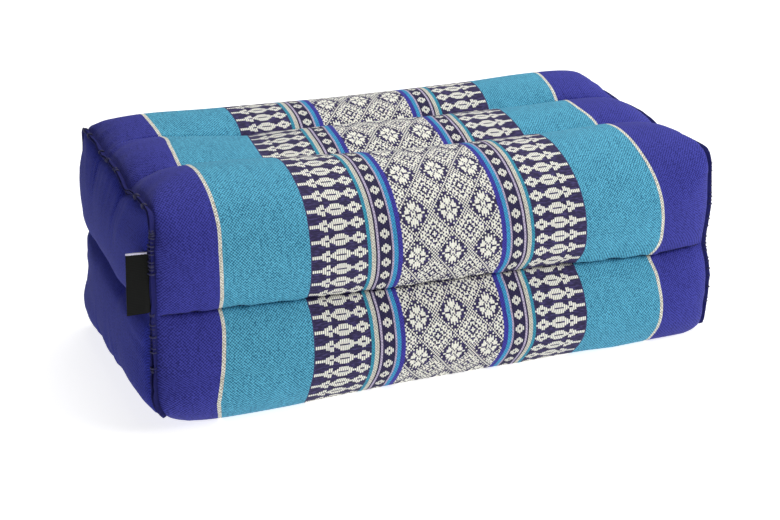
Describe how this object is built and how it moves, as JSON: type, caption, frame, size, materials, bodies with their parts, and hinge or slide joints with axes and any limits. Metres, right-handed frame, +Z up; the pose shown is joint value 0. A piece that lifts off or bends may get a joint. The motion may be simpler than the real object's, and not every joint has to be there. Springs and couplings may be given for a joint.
{
  "type": "meditation cushion",
  "caption": "Brick-shaped meditation cushion: stuffed lengthwise tubes in a striped and patterned woven wrap, plain blue end panels and raw whipped seam edges.",
  "frame": {"origin": "on the surface it stands on, under the middle of the middle lower tube", "axes": "+X along the tubes, towards the end without the tab; +Y towards the back; +Z up; the tab is at the left front seam, at -X and -Y"},
  "size_m": [0.3778, 0.2044, 0.1477],
  "materials": {
    "wrap": "woven cotton, turquoise and royal blue with a navy and cream pattern",
    "end_panel": "plain woven cotton, royal blue",
    "seam_edge": "raw cotton edge, whipped over with navy thread",
    "tab": "black woven tape"
  },
  "bodies": {
    "root": {"body": "wrap", "end_left": "end_panel", "end_right": "end_panel", "seam_left": "seam_edge", "seam_right": "seam_edge", "label": "tab"}
  },
  "joints": []
}
